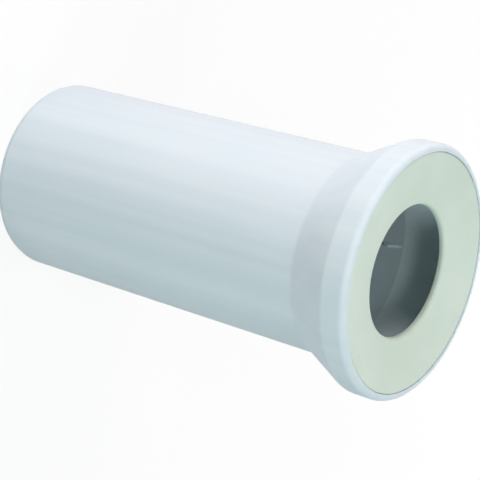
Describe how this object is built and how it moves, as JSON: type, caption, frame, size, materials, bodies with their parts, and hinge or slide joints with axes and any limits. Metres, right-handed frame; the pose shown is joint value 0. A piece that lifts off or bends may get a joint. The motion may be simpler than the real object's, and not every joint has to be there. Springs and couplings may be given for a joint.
{
  "type": "toilet pan connector",
  "caption": "Straight white plastic toilet pan connector: a plain soil-pipe spigot, a short flared socket with a rounded rim, and a rubber lip seal with a round hole in its mouth.",
  "frame": {"origin": "centre of the spigot's end face, on the pipe's axis", "axes": "+Z along the pipe's axis from the spigot end to the socket's mouth, +X and +Y through two of the stop ribs"},
  "size_m": [0.1366, 0.1366, 0.25],
  "materials": {
    "white_plastic": "smooth moulded white plastic with a soft gloss",
    "seal_rubber": "matt greenish cream rubber"
  },
  "bodies": {
    "root": {"pipe_body": "white_plastic", "lip_seal": "seal_rubber"}
  },
  "joints": []
}
